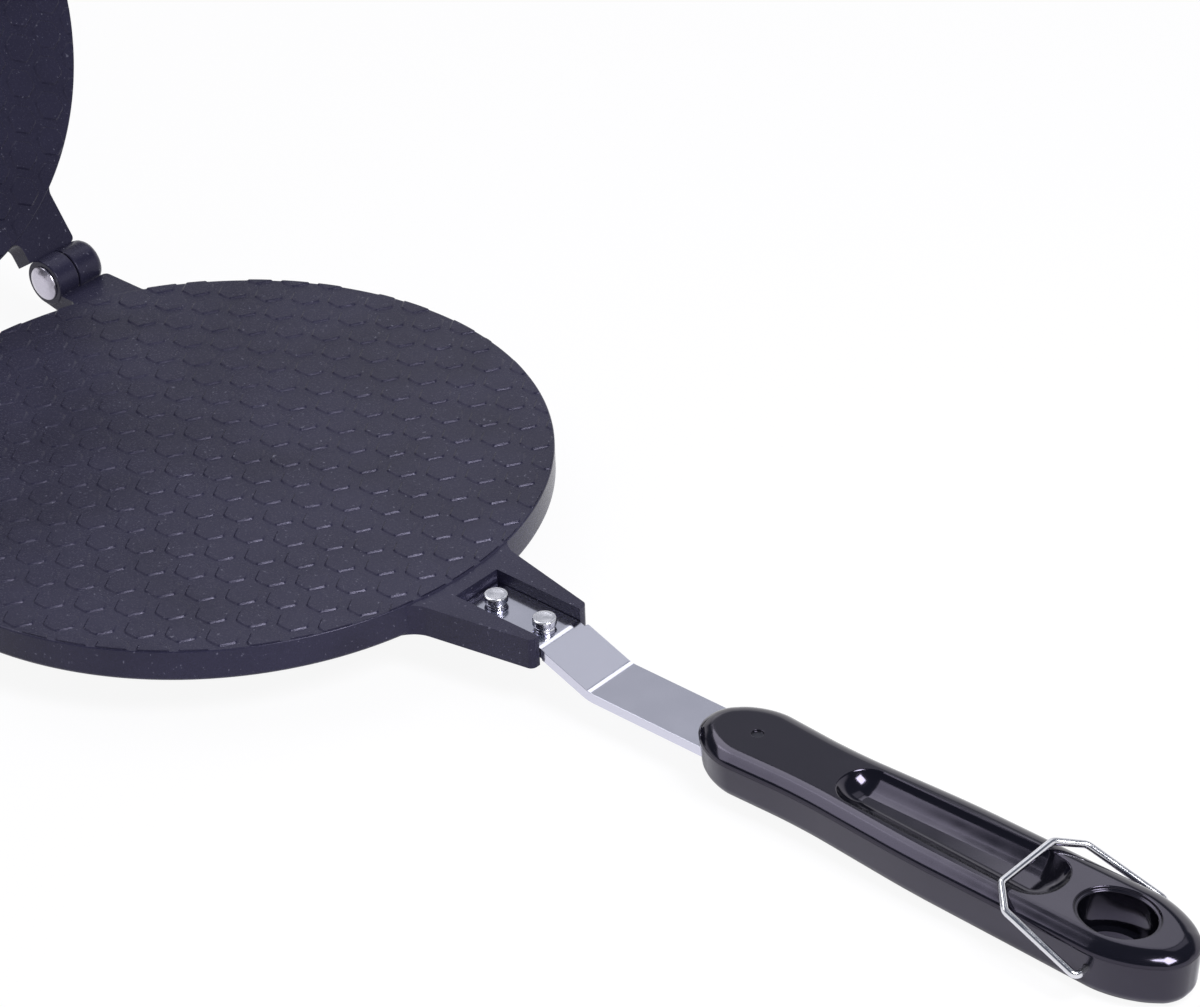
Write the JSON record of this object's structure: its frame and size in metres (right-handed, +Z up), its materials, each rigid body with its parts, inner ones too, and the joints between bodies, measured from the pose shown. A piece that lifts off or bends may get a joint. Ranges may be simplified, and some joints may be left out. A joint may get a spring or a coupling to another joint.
{
  "type": "waffle cone pan",
  "caption": "Stove-top waffle cone pan: two round honeycomb-faced plates hinged at the rim, each with a strip, a black grip and a wire bail to lock them shut.",
  "frame": {"origin": "centre of the lower plate's flat underside, the face that stands on the stove", "axes": "+X from the plates to the lower grip, +Y to the right-hand hinge, +Z up out of the lower plate; the upper half stands open past upright"},
  "size_m": [0.7344, 0.2, 0.3926],
  "materials": {
    "coated_casting": "cast, dark non-stick coating, fine speckle",
    "strip_steel": "rolled flat steel, satin",
    "rivet_metal": "satin, struck flat",
    "pin_metal": "satin",
    "grip_plastic": "glossy black moulded phenolic",
    "bail_wire": "bright drawn wire"
  },
  "bodies": {
    "lower_half": {"lower_plate": "coated_casting", "lower_handle_strip": "strip_steel", "lower_grip": "grip_plastic", "lower_tang_pin": "pin_metal", "lower_inner_rivet": "rivet_metal", "lower_outer_rivet": "rivet_metal", "hinge_pin_right": "pin_metal", "hinge_pin_left": "pin_metal"},
    "upper_half": {"upper_plate": "coated_casting", "upper_handle_strip": "strip_steel", "upper_grip": "grip_plastic", "upper_tang_pin": "pin_metal", "upper_inner_rivet": "rivet_metal", "upper_outer_rivet": "rivet_metal"},
    "bail": {"locking_bail": "bail_wire"}
  },
  "joints": [
    {"name": "plate_hinge", "type": "hinge", "parent": "lower_half", "child": "upper_half", "pos_m": [-0.1091, 0, 0.01135], "axis": [0, -1, 0], "range_deg": [-124.8, 0]},
    {"name": "bail_swing", "type": "hinge", "parent": "lower_half", "child": "bail", "pos_m": [0.3243, 0, -0.0047], "axis": [0, 1, 0], "range_deg": [0, 324]}
  ]
}
